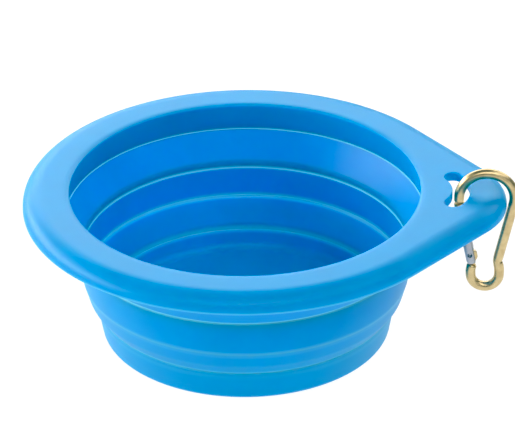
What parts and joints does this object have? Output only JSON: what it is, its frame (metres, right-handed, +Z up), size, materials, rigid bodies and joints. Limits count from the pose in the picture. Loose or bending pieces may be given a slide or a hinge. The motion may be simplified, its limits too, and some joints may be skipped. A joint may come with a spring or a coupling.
{
  "type": "collapsible hanging pet bowl",
  "caption": "Soft blue collapsible bowl with concertina wall, flat rim and teardrop hanging tab whose curved slot carries a small wire snap hook.",
  "frame": {"origin": "middle of the base underside", "axes": "+Z up out of the bowl's mouth, +X towards the hanging tab"},
  "size_m": [0.1456, 0.13, 0.0538],
  "materials": {
    "silicone": "satin blue silicone",
    "hook_wire": "yellow passivated, semi-gloss",
    "gate_sheet": "bright zinc",
    "spring_steel": "plain steel"
  },
  "bodies": {
    "base": {"base_cup": "silicone"},
    "middle": {"middle_wall_ring": "silicone", "lower_fold_web": "silicone"},
    "rim": {"rim_flange": "silicone", "upper_fold_web": "silicone"},
    "hook": {"hook_body": "hook_wire"},
    "gate": {"gate_sleeve": "gate_sheet", "gate_rivet": "gate_sheet", "gate_latch_pin": "spring_steel", "gate_spring": "spring_steel"},
    "plunger": {"spring_plunger": "spring_steel"}
  },
  "joints": [
    {"name": "lower_fold", "type": "slide", "parent": "base", "child": "middle", "axis": [0, 0, 1], "range_m": [-0.0174, 0], "deforming": ["lower_fold_web"]},
    {"name": "upper_fold", "type": "slide", "parent": "middle", "child": "rim", "axis": [0, 0, 1], "range_m": [-0.0214, 0], "deforming": ["upper_fold_web"]},
    {"name": "hook_swing", "type": "hinge", "parent": "rim", "child": "hook", "pos_m": [0.071, 0, 0.0442], "axis": [0, -1, 0], "range_deg": [-10, 180]},
    {"name": "gate_hinge", "type": "hinge", "parent": "hook", "child": "gate", "pos_m": [0.06645, 0, 0.0254], "axis": [0, 1, 0], "range_deg": [0, 25], "stiffness_Nm_per_rad": 0.02, "springref_deg": -20.05},
    {"name": "plunger_slide", "type": "slide", "parent": "gate", "child": "plunger", "axis": [-0.201, 0, 0.9796], "range_m": [0, 0.0004], "deforming": ["gate_spring"]}
  ],
  "couplings": [
    {"joint": "gate_hinge", "follows": "plunger_slide", "rad_per_m": 1090.8}
  ]
}
